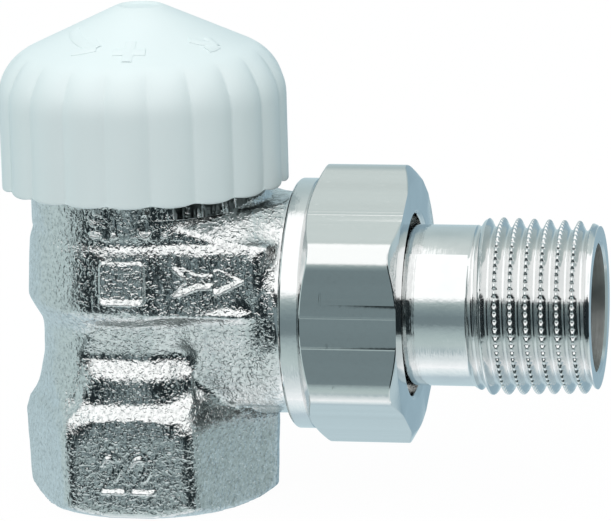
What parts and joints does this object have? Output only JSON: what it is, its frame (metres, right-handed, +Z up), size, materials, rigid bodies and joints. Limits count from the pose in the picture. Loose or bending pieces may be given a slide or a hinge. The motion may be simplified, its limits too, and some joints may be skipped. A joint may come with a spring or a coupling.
{
  "type": "angle radiator valve body",
  "caption": "Angle radiator valve body with hexagon inlet, lobed white screw cap that closes it, union nut and tail piece with external pipe thread.",
  "frame": {"origin": "centre of the hexagon inlet's end face, on the stem axis", "axes": "+Z up the stem axis towards the cap, +X out along the outlet axis"},
  "size_m": [0.0716, 0.0344, 0.0595],
  "materials": {
    "cast_nickel": "rough cast, nickel plated",
    "turned_nickel": "turned, nickel plated",
    "white_plastic": "satin moulded",
    "bare_brass": "turned, bare",
    "stainless": "ground",
    "black_rubber": "moulded"
  },
  "bodies": {
    "valve": {"valve_body": "cast_nickel", "insert_housing": "bare_brass", "insert_o_ring": "black_rubber", "stem_guide": "bare_brass", "gland_nut": "bare_brass", "gland_o_ring": "black_rubber", "stem_o_ring": "black_rubber", "o_ring_washer": "bare_brass", "return_spring": "stainless"},
    "stem": {"stem": "stainless", "spring_retainer": "stainless", "retaining_ring": "stainless", "disc_holder": "bare_brass", "valve_disc": "black_rubber", "disc_washer": "bare_brass", "disc_nut": "bare_brass"},
    "cap": {"protective_cap": "white_plastic"},
    "union_seal": {"union_o_ring": "black_rubber"},
    "nut": {"union_nut": "turned_nickel"},
    "tail": {"tail_piece": "turned_nickel"}
  },
  "joints": [
    {"name": "stem_slide", "type": "slide", "parent": "valve", "child": "stem", "axis": [0, 0, 1], "range_m": [-0.0015, 0], "deforming": ["return_spring"]},
    {"name": "cap_turn", "type": "hinge", "parent": "stem", "child": "cap", "pos_m": [0, 0, 0.045], "axis": [0, 0, 1], "range_deg": [-360.01, 0.01]},
    {"name": "union_slide", "type": "slide", "parent": "valve", "child": "union_seal", "axis": [1, 0, 0], "range_m": [0, 0.00726]},
    {"name": "nut_turn", "type": "hinge", "parent": "union_seal", "child": "nut", "pos_m": [0.025, 0, 0.0235], "axis": [1, 0, 0], "range_deg": [-0.01, 1440.01]},
    {"name": "tail_swivel", "type": "hinge", "parent": "union_seal", "child": "tail", "pos_m": [0.04, 0, 0.0235], "axis": [1, 0, 0], "continuous": true}
  ],
  "couplings": [
    {"joint": "cap_turn", "follows": "stem_slide", "rad_per_m": 4188.8},
    {"joint": "nut_turn", "follows": "union_slide", "rad_per_m": 3463.7}
  ]
}
